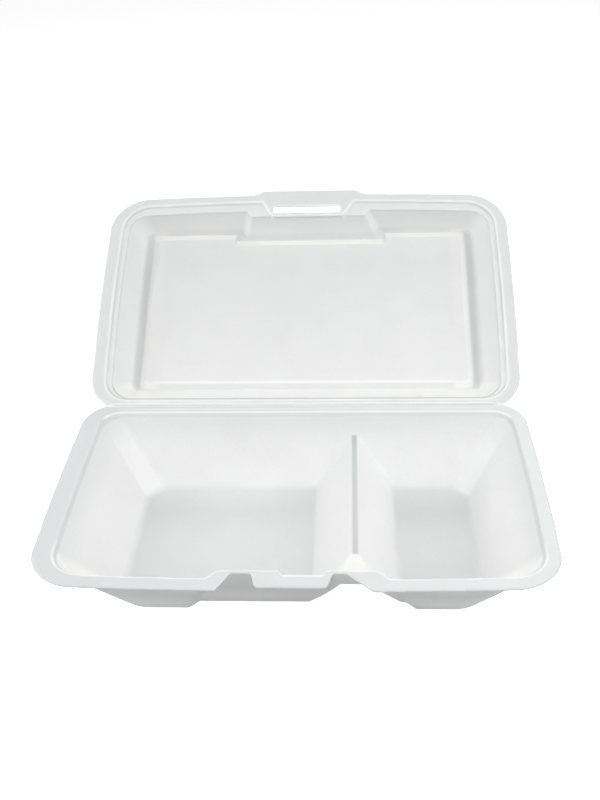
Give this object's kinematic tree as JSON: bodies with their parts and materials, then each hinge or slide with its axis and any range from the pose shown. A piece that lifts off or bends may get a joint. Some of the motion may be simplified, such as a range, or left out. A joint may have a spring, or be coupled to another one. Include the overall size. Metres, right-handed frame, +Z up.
{
  "type": "hinged foam food container",
  "caption": "Hinged foam clamshell food container, open, with a divided tray, a shallow lid with a raised panel, and a tab-and-tongue latch.",
  "frame": {"origin": "middle of the tray's length and depth, on the flat underside that it rests on", "axes": "+Z up; +Y from the latch edge towards the hinge and the open lid; +X along the hinge, towards the small compartment"},
  "size_m": [0.2386, 0.2703, 0.1165],
  "materials": {
    "foam": "matt white expanded polystyrene foam with a faint satin skin"
  },
  "bodies": {
    "tray": {"tray": "foam"},
    "lid": {"lid": "foam"}
  },
  "joints": [
    {"name": "lid_hinge", "type": "hinge", "parent": "tray", "child": "lid", "pos_m": [0, 0.071, 0.04355], "axis": [1, 0, 0], "range_deg": [-30, 150]}
  ]
}
